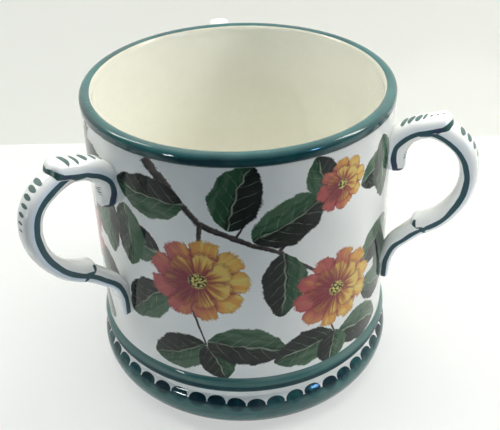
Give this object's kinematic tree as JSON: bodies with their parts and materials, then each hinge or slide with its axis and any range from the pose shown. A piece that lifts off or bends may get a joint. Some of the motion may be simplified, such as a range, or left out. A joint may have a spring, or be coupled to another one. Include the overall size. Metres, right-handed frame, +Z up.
{
  "type": "loving cup",
  "caption": "Large straight-sided glazed pottery loving cup with scrolled strap handles, rolled green rim, base bead and moulded foot; stands on a foot ring and holds drink.",
  "frame": {"origin": "on the cup's axis, in the plane of the foot ring that the cup stands on", "axes": "+Z up along the cup's axis; the back handle points along +Y and the front panel faces -Y"},
  "size_m": [0.2431, 0.2264, 0.185],
  "materials": {
    "white_glaze": "glossy white lead-type glaze over cream earthenware, with painted decoration",
    "cream_glaze": "glossy warm cream glaze",
    "green_glaze": "glossy brushed teal-green glaze"
  },
  "bodies": {
    "root": {"cup_wall": "white_glaze", "base_slab": "cream_glaze", "rim_roll": "green_glaze", "base_bead": "green_glaze", "foot_plinth": "green_glaze", "left_scroll": "white_glaze", "left_grip": "white_glaze", "left_tail": "white_glaze", "right_scroll": "white_glaze", "right_grip": "white_glaze", "right_tail": "white_glaze", "back_scroll": "white_glaze", "back_grip": "white_glaze", "back_tail": "white_glaze"}
  },
  "joints": []
}
